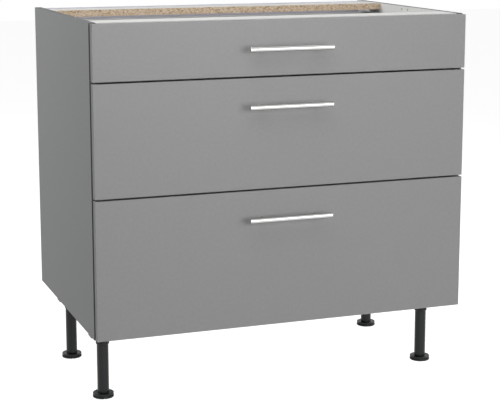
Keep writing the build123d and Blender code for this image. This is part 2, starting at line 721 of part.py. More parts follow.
def make_legs():
    left_plates = []
    left_screws = []
    for name, (x, y) in LEG_PLACES.items():
        save("leg_" + name, leg(x, y))
        save("foot_" + name, foot(x, y))
        if x < 0:
            left_plates.append(leg_plate(x, y).solid())
            left_screws += [plate_screw(*place).solid() for place in plate_screw_places(x, y)]
    save("leg_plates", both_sides(group(left_plates)))
    save("leg_plate_screws", both_sides(group(left_screws)))


os.makedirs("parts", exist_ok=True)
make_carcass()
make_runners()
make_drawers()
make_legs()
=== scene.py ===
# %% [markdown]
# # Kitchen base cabinet with three drawers
# A cabinet like this is chipboard panels pinned together, three drawers on telescopic
# runners and four screw-in legs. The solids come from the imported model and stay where
# they are; this lesson gives them real finishes and models the small parts more finely.

import json
import math

import bmesh
import bpy
from mathutils import Matrix, Vector


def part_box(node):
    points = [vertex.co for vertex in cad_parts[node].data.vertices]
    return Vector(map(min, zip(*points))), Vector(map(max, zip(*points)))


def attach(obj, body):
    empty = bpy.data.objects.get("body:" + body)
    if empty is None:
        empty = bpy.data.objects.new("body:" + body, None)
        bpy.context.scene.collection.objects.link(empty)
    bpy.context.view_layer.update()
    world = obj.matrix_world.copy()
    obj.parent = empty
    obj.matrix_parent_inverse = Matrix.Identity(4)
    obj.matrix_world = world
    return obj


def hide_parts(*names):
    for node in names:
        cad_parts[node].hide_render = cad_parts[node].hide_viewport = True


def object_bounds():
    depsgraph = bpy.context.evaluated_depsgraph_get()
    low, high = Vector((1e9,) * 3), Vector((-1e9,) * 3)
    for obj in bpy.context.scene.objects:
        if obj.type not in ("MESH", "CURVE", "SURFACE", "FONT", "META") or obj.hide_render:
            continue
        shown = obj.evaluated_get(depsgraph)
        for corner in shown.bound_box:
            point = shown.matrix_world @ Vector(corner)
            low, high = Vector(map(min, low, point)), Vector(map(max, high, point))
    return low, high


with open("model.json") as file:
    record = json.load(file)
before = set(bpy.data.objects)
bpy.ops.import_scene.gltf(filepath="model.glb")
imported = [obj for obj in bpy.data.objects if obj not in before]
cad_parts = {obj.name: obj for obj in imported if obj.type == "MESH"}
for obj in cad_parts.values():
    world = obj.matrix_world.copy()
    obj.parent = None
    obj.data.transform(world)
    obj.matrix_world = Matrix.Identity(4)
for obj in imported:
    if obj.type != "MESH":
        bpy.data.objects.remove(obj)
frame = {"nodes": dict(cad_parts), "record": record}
cad_low, cad_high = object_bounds()
nodes = frame["nodes"]
MM = 0.001
DRAWERS = ("top", "middle", "bottom")
CORNERS = ("front_left", "front_right", "rear_left", "rear_right")
print("nodes:", len(nodes), "cabinet box in mm:",
      [round(v / MM, 1) for v in (*cad_low, *cad_high)])

# %% [markdown]
# Most places can be measured on the solids, so this file repeats few numbers. The boards
# tell where the laminate ends and the raw chipboard starts; a node with many screws tells
# where each single screw sits.

# %% Places measured on the solids
SAME_PLACE = 1e-6     # metres; points nearer than this are one
side_low, side_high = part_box("side_panel_left")
OUTER_X, INNER_X = -side_low.x, -side_high.x
CARCASS_FRONT, CARCASS_BACK = side_low.y, side_high.y
CARCASS_BOTTOM, CARCASS_TOP = side_low.z, side_high.z


def solids_of(name):
    """Lowest and highest corner of each separate solid in a node, in a fixed order."""
    shape = bmesh.new()
    shape.from_mesh(nodes[name].data)
    bmesh.ops.remove_doubles(shape, verts=shape.verts, dist=SAME_PLACE)
    waiting, boxes = set(shape.verts), []
    while waiting:
        stack, group = [waiting.pop()], []
        while stack:
            vertex = stack.pop()
            group.append(vertex.co.copy())
            for edge in vertex.link_edges:
                other = edge.other_vert(vertex)
                if other in waiting:
                    waiting.remove(other)
                    stack.append(other)
        boxes.append((Vector([min(c[k] for c in group) for k in range(3)]),
                      Vector([max(c[k] for c in group) for k in range(3)])))
    shape.free()
    return sorted(boxes, key=lambda box: tuple(round(v, 6) for v in (*box[0], *box[1])))


print("outer and inner faces in mm:", round(OUTER_X / MM, 1), round(INNER_X / MM, 1))

# %% [markdown]
# A finish is a little tree of nodes. Every one of them needs the same three things: a
# node, its settings and its links. One function for that keeps each recipe readable, and
# one more turns the familiar hex colour of a paint card into the linear values of a shader.

# %% Two helpers for materials


def colour(code):
    """Linear red, green, blue and alpha of an sRGB hex colour."""
    parts = [int(code[k:k + 2], 16) / 255 for k in (1, 3, 5)]
    return (*(c / 12.92 if c <= 0.04045 else ((c + 0.055) / 1.055) ** 2.4 for c in parts), 1)


def add(tree, kind, links=None, **settings):
    """A node with its settings, and links from other nodes' sockets to its own."""
    node = tree.nodes.new("ShaderNode" + kind)
    for key, value in settings.items():
        if hasattr(node, key):
            setattr(node, key, value)
        else:
            node.inputs[key.replace("_", " ")].default_value = value
    for socket, source in (links or {}).items():
        tree.links.new(source, node.inputs[socket])
    return node


# %% [markdown]
# On top of these stand the few moves that the recipes share. Patterns are given in
# millimetres, because that is how one measures a chip of wood or the dimples of a lacquer.

# %% Patterns, blends and relief


def new_finish(name, **constants):
    """A material with one Principled shader whose plain numbers sit on its own sockets."""
    material = bpy.data.materials.new(name)
    material.use_nodes = True
    tree = material.node_tree
    shader = tree.nodes["Principled BSDF"]
    for key, value in constants.items():
        shader.inputs[key.replace("_", " ")].default_value = value
    place = add(tree, "TexCoord").outputs["Object"]
    return material, tree, shader, place


def connect(tree, shader, **sources):
    """Links sockets into the shader, each by the name of its input."""
    for name, source in sources.items():
        tree.links.new(source, shader.inputs[name.replace("_", " ")])


def pattern(tree, place, size_mm, stretch=(1, 1, 1), detail=2.0, roughness=0.5):
    """Noise whose blobs are about size_mm across, drawn out along an axis by stretch."""
    scaled = add(tree, "Mapping", {"Vector": place}, Scale=tuple(1 / s for s in stretch))
    return add(tree, "TexNoise", {"Vector": scaled.outputs["Vector"]},
               Scale=1 / (size_mm * MM), Detail=detail, Roughness=roughness).outputs["Fac"]


def flakes(tree, place, size_mm, stretch=(1, 1, 1)):
    """Cells about size_mm across, each with its own chance value between 0 and 1."""
    scaled = add(tree, "Mapping", {"Vector": place}, Scale=tuple(1 / s for s in stretch))
    cells = add(tree, "TexVoronoi", {"Vector": scaled.outputs["Vector"]},
                Scale=1 / (size_mm * MM))
    return add(tree, "SeparateColor", {"Color": cells.outputs["Color"]}).outputs[0]


def spread(tree, value, low, high, start=0.3, end=0.7):
    """A pattern's usual span, start to end, brought between two numbers."""
    return add(tree, "MapRange", {"Value": value}, From_Min=start, From_Max=end,
               To_Min=low, To_Max=high).outputs["Result"]


def maths(tree, operation, first, second=0):
    """One sum, with sockets or plain numbers; some need only the first."""
    node = add(tree, "Math", operation=operation)
    for socket, value in zip(node.inputs, (first, second)):
        if isinstance(value, (int, float)):
            socket.default_value = value
        else:
            tree.links.new(value, socket)
    return node.outputs[0]


def blend(tree, factor, first, second):
    """Two colours mixed by a factor; a colour is a socket or a fixed value."""
    node = add(tree, "Mix", data_type="RGBA")
    tree.links.new(factor, node.inputs[0])
    for socket, value in ((node.inputs[6], first), (node.inputs[7], second)):
        if isinstance(value, tuple):
            socket.default_value = value
        else:
            tree.links.new(value, socket)
    return node.outputs[2]


def relief(tree, shader, height, depth_mm):
    """Bump of depth_mm between the pattern's lowest and highest places."""
    node = add(tree, "Bump", {"Height": height}, Distance=depth_mm * MM)
    connect(tree, shader, Normal=node.outputs["Normal"])


FINISHES = {}


def keep(slot, material):
    """Files a finish under the record's name for it."""
    FINISHES[slot] = material
    print("finish for", slot + ":", material.name)


# %% [markdown]
# The drawer fronts are fibreboard under a matt lacquer. Sprayed lacquer dries with a very
# faint orange peel, a millimetre or two across, and its gloss wanders a little, so the grey
# is never quite flat. The dimples are drawn 3 mm wide to show at all at this distance. The
# edges are painted a shade darker than the faces: painted shade for the dark gaps between
# the fronts and along the top edge.

# %% Matt grey lacquer
HAIR = 0.05 * MM           # how near a plane still counts as on it
FACE_SKIN = 0.5 * MM       # a front's face, with the first part of its rounded edges


def span_test(tree, value, low, high):
    """1 where a value lies outside low to high, which are in metres."""
    below = maths(tree, "LESS_THAN", value, low)
    return maths(tree, "MAXIMUM", below, maths(tree, "GREATER_THAN", value, high))


def lacquer_finish():
    """Lacquer with painted shade: a front's edges darker than its two faces."""
    board, tree, shader, place = new_finish("matt_grey_lacquer", IOR=1.5,
                                            Specular_IOR_Level=0.3)
    cloud = pattern(tree, place, 7, detail=3, roughness=0.6)
    tone = blend(tree, spread(tree, cloud, 0, 1), colour("#9A9A9A"), colour("#9E9E9E"))
    low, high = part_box("top_drawer_front")
    depth = add(tree, "SeparateXYZ", {"Vector": place}).outputs["Y"]
    faces = span_test(tree, depth, low.y + FACE_SKIN, high.y - HAIR)
    # the edges take #838383, painted shade for the dark gaps between the fronts
    connect(tree, shader, Base_Color=blend(tree, faces, colour("#838383"), tone),
            Roughness=spread(tree, pattern(tree, place, 45, detail=3), 0.62, 0.7))
    relief(tree, shader, pattern(tree, place, 3, detail=2), 0.012)
    return board


keep("front_lacquer", lacquer_finish())

# %% [markdown]
# The side panels are 16 mm chipboard under melamine paper: grey outside, white inside, and
# round the edges a darker grey, which is painted shade for the gap beside the fronts and the
# top edge. Nothing but a hole or a groove shows the chips, which are a millimetre or two
# wide and are drawn at about three. Since the material knows where on the board it is,
# comparisons with the board's own planes tell outside, edge and core apart.
# Pressed melamine has a fine pearl texture, drawn at 1.2 mm.

# %% Chips of a raw board edge


def chips(tree, place):
    """Colour and height of raw chipboard: flat flakes of light and dark wood in glue."""
    small = flakes(tree, place, 2.9, (1.3, 1, 1))
    large = flakes(tree, place, 3.6, (1.5, 2, 1))
    wood = blend(tree, small, colour("#B7946B"), colour("#E2D2BE"))
    dark = spread(tree, large, 0, 0.7, 0.84, 0.92)
    wood = blend(tree, dark, wood, colour("#8E6C48"))
    fibre = pattern(tree, place, 2.2, (1.5, 1, 1), detail=3, roughness=0.6)
    wood = blend(tree, spread(tree, fibre, 0, 0.25), wood, colour("#E4D8C8"))
    return wood, maths(tree, "ADD", small, fibre)


# %% Grey melamine outside, white inside


def melamine(tree, place, dark, light):
    """The tone of a melamine paper, which drifts a little from dark to light and back."""
    cloud = spread(tree, pattern(tree, place, 6, detail=3, roughness=0.6), 0, 1)
    return blend(tree, cloud, colour(dark), colour(light))


def side_board_finish():
    """Grey outside, painted shade darker round the edges, white inside, and raw chips in every
    hole.
    """
    board, tree, shader, place = new_finish("grey_melamine_on_chipboard", IOR=1.52,
                                            Specular_IOR_Level=0.2)
    axis = add(tree, "SeparateXYZ", {"Vector": place}).outputs
    across = maths(tree, "ABSOLUTE", axis["X"])
    inside = maths(tree, "LESS_THAN", across, INNER_X + HAIR)
    outer = maths(tree, "GREATER_THAN", across, OUTER_X - HAIR)
    ends = span_test(tree, axis["Z"], CARCASS_BOTTOM + HAIR, CARCASS_TOP - HAIR)
    edges = span_test(tree, axis["Y"], CARCASS_FRONT + HAIR, CARCASS_BACK - HAIR)
    shell = maths(tree, "MAXIMUM", outer, maths(tree, "MAXIMUM", ends, edges))
    core, _ = chips(tree, place)
    grey = melamine(tree, place, "#8B8C8C", "#8F9090")
    # the edges and ends take #6C6D6E, painted shade for the gap beside the fronts and the top
    # edge
    grey = blend(tree, outer, colour("#6C6D6E"), grey)
    white = melamine(tree, place, "#E2E2E0", "#E6E6E4")
    tone = blend(tree, inside, blend(tree, shell, core, grey), white)
    paper = maths(tree, "MAXIMUM", inside, shell)
    connect(tree, shader, Base_Color=tone, Roughness=spread(tree, paper, 0.9, 0.72, 0, 1))
    relief(tree, shader, pattern(tree, place, 1.2, detail=1), 0.008)
    return board


keep("side_board", side_board_finish())

# %% [markdown]
# The bottom, the front rail and the drawer boards are white on both faces and on the edges
# that show. The rear rail is the cheap one: white above and below, its front edge left raw,
# which is the speckled tan line in the photograph.

# %% White melamine boards


def white_board_finish(name, dark, light):
    """White melamine on every face and edge."""
    board, tree, shader, place = new_finish(name, IOR=1.52, Specular_IOR_Level=0.35)
    connect(tree, shader, Base_Color=melamine(tree, place, dark, light),
            Roughness=spread(tree, pattern(tree, place, 30), 0.55, 0.63))
    relief(tree, shader, pattern(tree, place, 1.2, detail=1), 0.008)
    return board


WHITE = ("#D9D9D7", "#DDDDDB")
keep("white_board", white_board_finish("white_melamine_board", *WHITE))
keep("drawer_board", white_board_finish("white_drawer_board", "#D4D4D2", "#D8D8D6"))

# %% The rear rail's raw edges


def rail_board_finish():
    """White above and below, raw chips on every other face."""
    board, tree, shader, place = new_finish("raw_edged_rail_board", IOR=1.52,
                                            Specular_IOR_Level=0.35)
    low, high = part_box("rear_stretcher")
    height = add(tree, "SeparateXYZ", {"Vector": place}).outputs["Z"]
    faces = span_test(tree, height, low.z + HAIR, high.z - HAIR)
    core, grain = chips(tree, place)
    tone = blend(tree, faces, core, melamine(tree, place, *WHITE))
    connect(tree, shader, Base_Color=tone, Roughness=spread(tree, faces, 0.9, 0.6, 0, 1))
    relief(tree, shader, grain, 0.12)
    return board


keep("rear_rail_board", rail_board_finish())

# %% [markdown]
# The back panel is 3 mm hardboard: pressed wood fibre with a pale lilac-white primer. Its
# rear face keeps the print of the wire screen it was pressed on, a weave about 1.5 mm wide,
# drawn at 3 mm. Both ways of the weave are plain sine waves, one across and one upright.

# %% Primed hardboard
SCREEN_WEAVE = 3 * MM


def hardboard_finish():
    """Cloudy primer over pressed fibre, with the screen's weave on the rear face alone."""
    board, tree, shader, place = new_finish("primed_hardboard", IOR=1.5)
    fibre = pattern(tree, place, 2.5, (2, 1, 1), detail=4, roughness=0.65)
    cloud = pattern(tree, place, 90, detail=3)
    tone = blend(tree, spread(tree, fibre, 0, 1), colour("#E6E6F3"), colour("#ECECF7"))
    tone = blend(tree, spread(tree, cloud, 0, 0.5), tone, colour("#E2E2EE"))
    connect(tree, shader, Base_Color=tone, Roughness=spread(tree, fibre, 0.55, 0.7))
    axis = add(tree, "SeparateXYZ", {"Vector": place}).outputs
    across, upright = [
        maths(tree, "SINE", maths(tree, "MULTIPLY", axis[k], 2 * math.pi / SCREEN_WEAVE))
        for k in ("X", "Z")]
    screen = maths(tree, "MULTIPLY", across, upright)
    low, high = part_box("back_panel")
    behind = maths(tree, "GREATER_THAN", axis["Y"], (low.y + high.y) / 2)
    height = maths(tree, "ADD", maths(tree, "MULTIPLY", screen, behind), fibre)
    relief(tree, shader, height, 0.06)
    return board


keep("hardboard", hardboard_finish())

# %% [markdown]
# Beech dowels are turned along the grain: fine brown flecks a millimetre wide and drawn out
# lengthwise. They sit in their holes and only show if a board is taken off.

# %% Beech
beech, tree, shader, place = new_finish("turned_beech", IOR=1.5)
grain = pattern(tree, place, 1.4, (14, 1, 1), detail=3)
flecks = flakes(tree, place, 0.9, (5, 1, 1))
tone = blend(tree, spread(tree, grain, 0, 1), colour("#C49B68"), colour("#D6B585"))
tone = blend(tree, spread(tree, flecks, 0, 0.5, 0.75, 1), tone, colour("#A97D4E"))
connect(tree, shader, Base_Color=tone, Roughness=spread(tree, grain, 0.55, 0.68))
relief(tree, shader, grain, 0.05)
keep("beech", beech)

# %% [markdown]
# Five metals, five surfaces. Die-cast zinc is dull and slightly mottled where it met the
# mould. Screws are plated bright. Runners are folded from galvanised strip, whose zinc
# freezes in flat spangles a few millimetres wide. The drawer sides are powder coated, so
# they are paint over steel, not bare metal. The handles are stainless, brushed lengthwise;
# the strokes are a tenth of a millimetre wide and are drawn at a third.

# %% Zinc and steel


def metal(name, dark, light, rough, size_mm, stretch=(1, 1, 1), depth_mm=0.01):
    """A bare metal whose tone and gloss follow one pattern."""
    finish, tree, shader, place = new_finish(name, Metallic=1.0)
    figure = pattern(tree, place, size_mm, stretch, detail=3, roughness=0.6)
    tone = blend(tree, spread(tree, figure, 0, 1), colour(dark), colour(light))
    connect(tree, shader, Base_Color=tone, Roughness=spread(tree, figure, *rough))
    relief(tree, shader, figure, depth_mm)
    return finish


keep("die_cast_zinc", metal("mottled_die_cast_zinc", "#9C9DA0", "#B0B1B3", (0.38, 0.55), 1.5,
                            depth_mm=0.04))
keep("zinc_steel", metal("bright_zinc_plated_steel", "#ACAEB1", "#BFC1C3", (0.22, 0.34), 2.5))
keep("handle_steel", metal("brushed_stainless_steel", "#B9B9B7", "#C4C4C2", (0.12, 0.17),
                           0.35, (60, 1, 1), 0.0004))

# %% Galvanised strip and powder coat
galvanised, tree, shader, place = new_finish("galvanised_steel_strip", Metallic=1.0)
spangle = flakes(tree, place, 5)
frost = pattern(tree, place, 0.8, detail=2)
tone = blend(tree, spangle, colour("#9DA0A3"), colour("#B4B7B9"))
connect(tree, shader, Base_Color=tone, Roughness=spread(tree, spangle, 0.3, 0.46, 0, 1))
relief(tree, shader, frost, 0.006)
keep("runner_steel", galvanised)

powder, tree, shader, place = new_finish("pale_grey_powder_coat", IOR=1.5)
peel = pattern(tree, place, 1.8, detail=2)
tone = blend(tree, spread(tree, peel, 0, 1), colour("#B6B9BA"), colour("#BCBFC0"))
connect(tree, shader, Base_Color=tone,
        Roughness=spread(tree, pattern(tree, place, 25), 0.4, 0.5))
relief(tree, shader, peel, 0.03)
keep("side_steel", powder)

# %% [markdown]
# The plastics are all injection moulded. Polypropylene legs come off a spark-eroded mould
# with a fine leathery texture, drawn about a millimetre wide so that it shows, and faint
# upright flow marks; the grey plates are the same with more filler. The pads are clear, soft
# and tacky, so they let light through and catch dust, which makes them slightly milky.

# %% Moulded plastics


def moulded(name, dark, light, rough, grain_mm, depth_mm, **constants):
    """Plastic with upright flow marks and the fine grain of its mould."""
    finish, tree, shader, place = new_finish(name, **constants)
    flow = pattern(tree, place, 9, (1, 1, 5), detail=3)
    tone = blend(tree, spread(tree, flow, 0, 1), colour(dark), colour(light))
    connect(tree, shader, Base_Color=tone, Roughness=spread(tree, flow, *rough))
    relief(tree, shader, pattern(tree, place, grain_mm, detail=2), depth_mm)
    return finish


keep("black_plastic", moulded("black_polypropylene", "#1A1C1D", "#232526", (0.34, 0.42), 1.1,
                              0.02, IOR=1.49, Specular_IOR_Level=0.28))
keep("grey_plastic", moulded("grey_moulded_plastic", "#7A7B7B", "#848585", (0.45, 0.55), 1.1,
                             0.03, IOR=1.5))
keep("clear_pad", moulded("clear_soft_polyurethane", "#C4C4C0", "#CDCDC9", (0.22, 0.32), 1.6,
                          0.02, IOR=1.49, Transmission_Weight=0.55))

# %% [markdown]
# The record names a finish for every node. A loaded solid keeps its mesh and only gets a
# material in its slot, so the boards are finished with this; the finer pieces modelled
# below take theirs from the same list.

# %% Coat every carried-over solid


def coat(name, material):
    """Gives a solid one material and no other."""
    data = nodes[name].data
    data.materials.clear()
    data.materials.append(material)


slot_of = {part["node"]: part["material_slot"] for part in frame["record"]["subparts"]}
for node_name, slot_name in slot_of.items():
    coat(node_name, FINISHES[slot_name])
print("coated", len(slot_of), "solids with", len(FINISHES), "finishes")

# %% [markdown]
# Now the modelling. Each helper below is a thing one does by hand in the edit window: start
# from a block, a rod or a line of points, pick faces or edges by where they are, and work
# on what is picked. Everything is deselected first, because the loaded solids come selected
# and an operator works on all that is.

# %% Start from nothing selected


def clear():
    """Back in object mode with nothing selected."""
    active = bpy.context.object
    if active and active.mode == "EDIT":
        bpy.ops.object.mode_set(mode="OBJECT")
    bpy.ops.object.select_all(action="DESELECT")


def only(*pieces):
    """Just these pieces selected, the first of them active."""
    clear()
    for piece in pieces:
        piece.select_set(True)
    bpy.context.view_layer.objects.active = pieces[0]


def settle(piece, name):
    """Names a new primitive, works its place into its mesh and opens it for editing."""
    piece.name = name
    bpy.ops.object.transform_apply(location=True, rotation=True, scale=True)
    bpy.ops.object.mode_set(mode="EDIT")
    return piece


def block(name, low, high):
    """A box between two corners, open for editing."""
    clear()
    low, high = Vector(low), Vector(high)
    bpy.ops.mesh.primitive_cube_add(size=1, location=(low + high) / 2, scale=high - low)
    return settle(bpy.context.object, name)


def rod(name, start, end, radius, sides):
    """A round rod between two points, open for editing."""
    clear()
    start, end = Vector(start), Vector(end)
    turn = (end - start).to_track_quat("Z", "Y").to_euler()
    bpy.ops.mesh.primitive_cylinder_add(vertices=sides, radius=radius,
                                        depth=(end - start).length,
                                        location=(start + end) / 2, rotation=turn)
    return settle(bpy.context.object, name)


# %% [markdown]
# In the window one clicks on faces and edges. In a script they are found by asking each one
# where it lies and which way it points. Cutting is a boolean, rounding is a bevel on all the
# edges that are sharp enough, and what repeats is copied and joined into one mesh.

# %% Pick, cut and join
FOLD_ANGLE, FOLD_STEPS = 35, 2


def pick(kind, test):
    """Selects only the edges or faces whose middle and direction pass a test."""
    bpy.ops.mesh.select_mode(type=kind)
    bpy.ops.mesh.select_all(action="DESELECT")
    shape = bmesh.from_edit_mesh(bpy.context.object.data)
    found = 0
    for item in {"EDGE": shape.edges, "FACE": shape.faces}[kind]:
        if kind == "EDGE":
            ends = [v.co for v in item.verts]
            middle, direction = (ends[0] + ends[1]) / 2, (ends[1] - ends[0]).normalized()
        else:
            middle, direction = item.calc_center_median(), item.normal
        if test(middle, direction):
            item.select_set(True)
            found += 1
    shape.select_flush_mode()
    bmesh.update_edit_mesh(bpy.context.object.data)
    return found


def cut(piece, *tools):
    """Cuts tools out of a piece, one after another, and throws them away."""
    for tool in tools:
        only(piece)
        bpy.ops.object.modifier_add(type="BOOLEAN")
        step = piece.modifiers[-1]
        step.operation, step.object, step.solver = "DIFFERENCE", tool, "EXACT"
        bpy.ops.object.modifier_apply(modifier=step.name)
        bpy.data.objects.remove(tool, do_unlink=True)
    return piece


def soften(piece, width_mm):
    """Rounds every sharp edge, as a fold or a mould does."""
    only(piece)
    bpy.ops.object.modifier_add(type="BEVEL")
    step = piece.modifiers[-1]
    step.width, step.segments = width_mm * MM, FOLD_STEPS
    step.limit_method, step.angle_limit = "ANGLE", math.radians(FOLD_ANGLE)
    bpy.ops.object.modifier_apply(modifier=step.name)
    return piece


def copies(piece, places, name):
    """One copy of a piece per matrix, all joined into one mesh; the model itself goes."""
    made = []
    for place in places:
        only(piece)
        bpy.ops.object.duplicate(linked=False)
        made.append(bpy.context.object)
        made[-1].data.transform(place)
    bpy.data.objects.remove(piece, do_unlink=True)
    only(*made)
    bpy.ops.object.join()
    bpy.context.object.name = name
    return bpy.context.object


# %% [markdown]
# Round parts with a stepped outline are turned, as on a lathe: half the outline is drawn as
# a line of points, each given by its radius and its height, and spun once round. The seam
# and the two poles are merged and the normals turned outwards, since a spin leaves both to
# chance.

# %% A lathe


def chain(name, points):
    """A line of joined points, open for editing and all selected."""
    clear()
    points = [Vector(p) for p in points]
    bpy.ops.mesh.primitive_plane_add(size=MM, location=points[0])
    piece = settle(bpy.context.object, name)
    bpy.ops.mesh.select_mode(type="VERT")
    bpy.ops.mesh.select_all(action="SELECT")
    bpy.ops.mesh.merge(type="CENTER")
    for before, after in zip(points, points[1:]):
        bpy.ops.mesh.extrude_vertices_move(
            TRANSFORM_OT_translate={"value": after - before})
    bpy.ops.mesh.select_all(action="SELECT")
    return piece


def turned(name, outline, at=(0, 0, 0), towards=(0, 0, 1), steps=40):
    """A lathe-turned shape; the outline's (radius, height) points are in millimetres."""
    piece = chain(name, [(r * MM, 0, z * MM) for r, z in outline])
    bpy.ops.mesh.spin(steps=steps, angle=2 * math.pi, center=(0, 0, 0), axis=(0, 0, 1))
    bpy.ops.mesh.select_all(action="SELECT")
    bpy.ops.mesh.remove_doubles(threshold=SAME_PLACE)
    bpy.ops.mesh.normals_make_consistent(inside=False)
    clear()
    piece.rotation_euler = Vector(towards).to_track_quat("Z", "Y").to_euler()
    piece.location = at
    only(piece)
    bpy.ops.object.transform_apply(location=True, rotation=True, scale=True)
    return piece


# %% [markdown]
# A finished piece is smoothed, takes its finish, and is hung on the body that it moves with.
# It stands in for the solid it was modelled from, which is hidden but still there for the
# physics.

# %% Hand a finished piece over to the frame


def finish_piece(piece, body, slot_name, *replaced, smooth=30):
    """Smooths a piece below an angle, coats it and hangs it on its body."""
    only(piece)
    bpy.ops.object.shade_smooth_by_angle(angle=math.radians(smooth))
    piece.data.materials.clear()
    piece.data.materials.append(FINISHES[slot_name])
    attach(piece, body)
    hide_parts(*replaced)
    low = [min(v.co[k] for v in piece.data.vertices) / MM for k in range(3)]
    high = [max(v.co[k] for v in piece.data.vertices) / MM for k in range(3)]
    print(piece.name, "on", body + ", faces:", len(piece.data.polygons), "box mm:",
          [round(v, 1) for v in (*low, *high)])


# %% [markdown]
# The bar handles are 12 mm stainless bar, parted off and chamfered on the lathe, so each end
# has a fine bevel round a flat face with a shallow turned dish. Two 8 mm posts carry the
# bar. They are turned too, with a small shoulder groove before the face that meets the
# drawer front, and their other end runs on inside the bar. The bar is smoothed only below
# ten degrees: its 48 sides meet at less and its bevels at more, so its length shades evenly
# right up to a crisp edge.

# %% Bar handles
BAR_SIDES, BAR_SMOOTH = 48, 10
BAR_BEVEL, BAR_SKIN = 0.6, 0.02
END_DISH, DISH_EDGE, DISH_SLOPE = 0.3, 1.6, 0.4


def handle_bar(drawer):
    """A bevelled bar with dished ends, a hair thinner than its solid."""
    node = drawer + "_handle_bar"
    low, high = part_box(node)
    y, z = (low.y + high.y) / 2, (low.z + high.z) / 2
    radius = (high.z - low.z) / 2 - BAR_SKIN * MM
    piece = rod(drawer + "_brushed_bar", (low.x, y, z), (high.x, y, z), radius, BAR_SIDES)
    pick("FACE", lambda middle, normal: abs(normal.x) > 0.9)
    bpy.ops.mesh.inset(thickness=DISH_EDGE * MM, depth=0)
    bpy.ops.mesh.inset(thickness=DISH_SLOPE * MM, depth=-END_DISH * MM)
    pick("EDGE", lambda middle, direction: abs(direction.x) < 0.1 and math.hypot(
        middle.y - y, middle.z - z) > 0.95 * radius)
    bpy.ops.mesh.bevel(offset=BAR_BEVEL * MM, segments=3, affect="EDGES")
    clear()
    finish_piece(piece, drawer + "_drawer", "handle_steel", node, smooth=BAR_SMOOTH)


for drawer in DRAWERS:
    handle_bar(drawer)

# %% Handle posts


def handle_posts(drawer):
    """Two turned posts, from the drawer front to just short of the bar's centre line."""
    node = drawer + "_handle_posts"
    bar_low, bar_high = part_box(drawer + "_handle_bar")
    bar_y, bar_z = (bar_low.y + bar_high.y) / 2, (bar_low.z + bar_high.z) / 2
    boxes = solids_of(node)
    first_low, first_high = boxes[0]
    radius = (first_high.x - first_low.x) / 2 / MM
    length = (first_high.y - bar_y) / MM
    outline = [(0, 0), (radius - 0.5, 0), (radius, 0.5), (radius, 1.8), (radius - 0.5, 2.2),
               (radius - 0.5, 2.8), (radius, 3.2), (radius, length - 1), (0, length - 1)]
    model = turned("post", outline, (0, first_high.y, bar_z), (0, -1, 0), 32)
    places = [Matrix.Translation(((low.x + high.x) / 2, 0, 0)) for low, high in boxes]
    piece = copies(model, places, drawer + "_turned_posts")
    finish_piece(piece, drawer + "_drawer", "handle_steel", node)


for drawer in DRAWERS:
    handle_posts(drawer)

# %% [markdown]
# All the screws are pan heads with a cross recess. One is turned with its head up at the
# origin, its recess is cut with two crossed blocks, and copies are laid over the solid
# screws, which tell the place and the way they point.

# %% Cross-head screws


def cross_head_screw(head_radius, head_height, shank_radius, length):
    """A pan-head screw, standing on the origin with its head up; sizes in millimetres."""
    r, h = head_radius, head_height
    outline = [(0, h), (0.5 * r, 0.97 * h), (0.8 * r, 0.8 * h), (0.96 * r, 0.5 * h), (r, 0),
               (shank_radius, 0), (shank_radius, -length + 1.2), (0.3, -length), (0, -length)]
    screw = turned("screw", outline, steps=24)
    arm, thick, deep = 0.55 * r * MM, 0.13 * r * MM, 0.4 * h * MM
    bars = [block("recess", (-x, -y, deep), (x, y, 2 * h * MM))
            for x, y in ((arm, thick), (thick, arm))]
    clear()
    return cut(screw, *bars)


# %% Lay the screws over their solids
X, Y, Z = 0, 1, 2
# Each size is a head's radius and height and a shank's radius, in millimetres.
RUNNER_SCREW, PLATE_SCREW, HANDLE_SCREW = (3.8, 2.0, 1.9), (3.6, 2.0, 1.9), (4.0, 2.4, 1.95)


def screws(node, name, body, axis, head_side, size):
    """Copies of one screw over a node's solids; head_side gives each head's direction."""
    head_radius, head_height, shank_radius = size
    boxes = solids_of(node)
    length = (boxes[0][1][axis] - boxes[0][0][axis]) / MM - head_height
    model = cross_head_screw(head_radius, head_height, shank_radius, length)
    places = []
    for low, high in boxes:
        sign = head_side(low)
        at = (low + high) / 2
        at[axis] = (high[axis] if sign > 0 else low[axis]) - sign * head_height * MM
        towards = Vector((0, 0, 0))
        towards[axis] = sign
        turn = towards.to_track_quat("Z", "Y").to_matrix().to_4x4()
        places.append(Matrix.Translation(at) @ turn)
    piece = copies(model, places, name)
    finish_piece(piece, body, "zinc_steel", node)


screws("runner_screws", "runner_pan_head_screws", "carcass", X,
       lambda low: -1 if low.x > 0 else 1, RUNNER_SCREW)
screws("leg_plate_screws", "leg_plate_pan_head_screws", "carcass", Z,
       lambda low: -1, PLATE_SCREW)
for drawer in DRAWERS:
    screws(drawer + "_handle_screws", drawer + "_handle_pan_head_screws", drawer + "_drawer",
           Y, lambda low: 1, HANDLE_SCREW)

# %% [markdown]
# Cam housings are little zinc drums. Their open face shows a raised rim, a cross for the
# screwdriver and a dull, grainy floor. The drum is turned and the cross is cut in.

# %% Cam housings
CROSS_ARM, CROSS_THICK, CROSS_DEPTH = 3.6 * MM, 0.7 * MM, 3.2 * MM
LOCKED_TURN = 35


